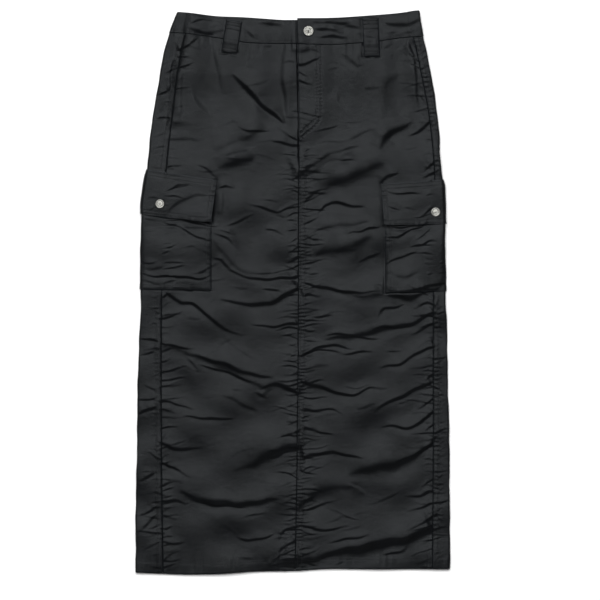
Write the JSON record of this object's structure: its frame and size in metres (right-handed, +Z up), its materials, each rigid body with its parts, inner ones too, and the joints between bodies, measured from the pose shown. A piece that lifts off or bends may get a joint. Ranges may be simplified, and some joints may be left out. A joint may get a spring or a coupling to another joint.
{
  "type": "cargo utility skirt",
  "caption": "Long straight cargo skirt laid flat, with a waistband and belt loops, a zip fly under a metal button, a centre front seam and flapped side pockets with snaps.",
  "frame": {"origin": "middle of the skirt's outline, on the surface that it lies on", "axes": "+X to the right as the front is seen from above, +Y from the hem to the waist, +Z up out of the front"},
  "size_m": [0.5252, 0.9399, 0.0149],
  "materials": {
    "shell_cloth": "charcoal black plain-woven nylon with a soft dull sheen",
    "fastener_metal": "nickel-plated pressed metal, worn satin"
  },
  "bodies": {
    "root": {"front_left": "shell_cloth", "front_right": "shell_cloth", "back_left": "shell_cloth", "back_right": "shell_cloth", "waistband_front_left": "shell_cloth", "waistband_front_right": "shell_cloth", "waistband_back": "shell_cloth", "pocket_left": "shell_cloth", "pocket_right": "shell_cloth", "flap_left": "shell_cloth", "flap_right": "shell_cloth", "loop_front_left": "shell_cloth", "loop_front_right": "shell_cloth", "loop_back_left": "shell_cloth", "loop_back_centre": "shell_cloth", "loop_back_right": "shell_cloth", "button_waist": "fastener_metal", "snap_left": "fastener_metal", "snap_right": "fastener_metal"}
  },
  "joints": []
}
